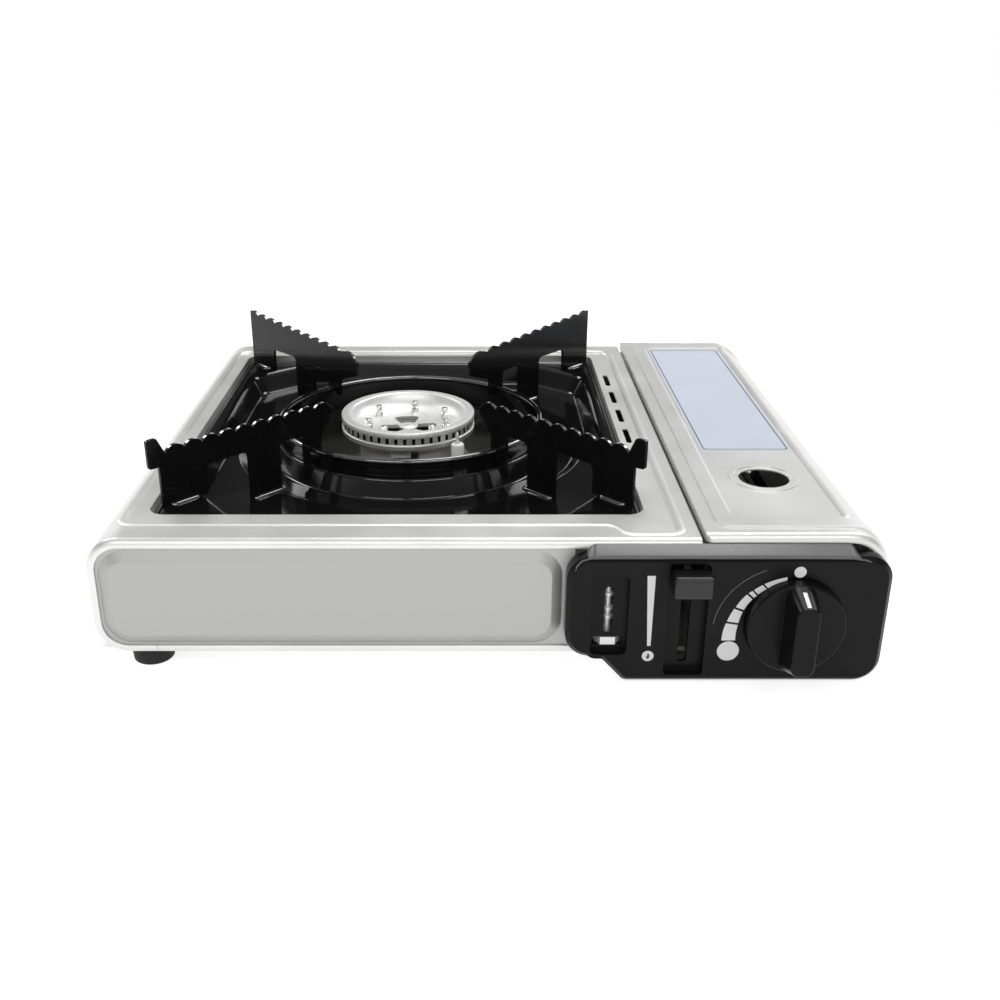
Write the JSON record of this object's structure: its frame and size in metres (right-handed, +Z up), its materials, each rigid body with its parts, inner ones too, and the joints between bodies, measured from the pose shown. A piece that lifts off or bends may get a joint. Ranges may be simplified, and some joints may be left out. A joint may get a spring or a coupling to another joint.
{
  "type": "butane cassette stove",
  "caption": "Tabletop butane stove with a slotted burner, scalloped pan support on an enamelled tray, a hinged cartridge lid, a pressure lever and a turning knob.",
  "frame": {"origin": "on the ground, under the middle of the overall box", "axes": "+X to the right along the front, +Y from the controls to the back, +Z up"},
  "size_m": [0.344, 0.336, 0.0962],
  "materials": {
    "satin_steel": "satin",
    "front_steel": "satin",
    "inner_steel": "plain",
    "bright_steel": "polished",
    "cast_aluminium": "machined",
    "black_enamel": "gloss enamel",
    "black_plastic": "semi-gloss",
    "white_ceramic": "glazed",
    "brass": "machined",
    "rubber": "matt",
    "igniter_plastic": "matt",
    "lead_sleeve": "matt",
    "label_film": "gloss"
  },
  "bodies": {
    "housing": {"top_shell": "satin_steel", "base_pan": "satin_steel", "front_panel": "front_steel", "rear_panel": "front_steel", "bay_partition": "inner_steel", "hinge_brackets": "inner_steel", "hinge_pins": "inner_steel", "burner_cap": "cast_aluminium", "burner_jets": "bright_steel", "burner_cup": "bright_steel", "mixing_tube": "inner_steel", "burner_stand": "inner_steel", "heat_plate": "inner_steel", "electrode_ceramic": "white_ceramic", "electrode_pin": "bright_steel", "electrode_bracket": "bright_steel", "control_panel": "black_plastic", "lever_pivot": "inner_steel", "cartridge_seat": "inner_steel", "regulator_body": "cast_aluminium", "regulator_cover": "cast_aluminium", "regulator_bracket": "inner_steel", "gas_inlet": "brass", "inlet_seal": "rubber", "gas_jet": "brass", "piezo_igniter": "igniter_plastic", "ignition_lead": "lead_sleeve", "lock_rod": "bright_steel", "lock_nut": "bright_steel", "panel_screws": "bright_steel", "feet": "rubber"},
    "lid": {"lid_panel": "satin_steel", "lid_label_plate": "label_film", "lid_hinge_leaves": "inner_steel"},
    "knob": {"knob": "black_plastic", "valve_spindle": "brass"},
    "lever": {"lever_cap": "black_plastic", "lever_arm": "inner_steel"},
    "yoke": {"cartridge_yoke": "inner_steel"},
    "tray": {"drip_tray": "black_enamel", "support_ring": "black_enamel", "support_blade_front_left": "black_enamel", "support_blade_front_right": "black_enamel", "support_blade_rear_left": "black_enamel", "support_blade_rear_right": "black_enamel"}
  },
  "joints": [
    {"name": "lid_hinge", "type": "hinge", "parent": "housing", "child": "lid", "pos_m": [0.168, 0, 0.0065], "axis": [0, 1, 0], "range_deg": [0, 88]},
    {"name": "knob_turn", "type": "hinge", "parent": "housing", "child": "knob", "pos_m": [0.13, -0.15, 0.031], "axis": [0, -1, 0], "range_deg": [0, 117]},
    {"name": "lever_press", "type": "hinge", "parent": "housing", "child": "lever", "pos_m": [0.0845, -0.09, 0.035], "axis": [1, 0, 0], "range_deg": [0, 33]},
    {"name": "yoke_slide", "type": "slide", "parent": "housing", "child": "yoke", "axis": [0, -1, 0], "range_m": [0, 0.0052]},
    {"name": "tray_lift", "type": "slide", "parent": "housing", "child": "tray", "axis": [0, 0, 1], "range_m": [0, 0.06]}
  ],
  "couplings": [
    {"joint": "yoke_slide", "follows": "lever_press", "m_per_rad": 0.00868}
  ]
}
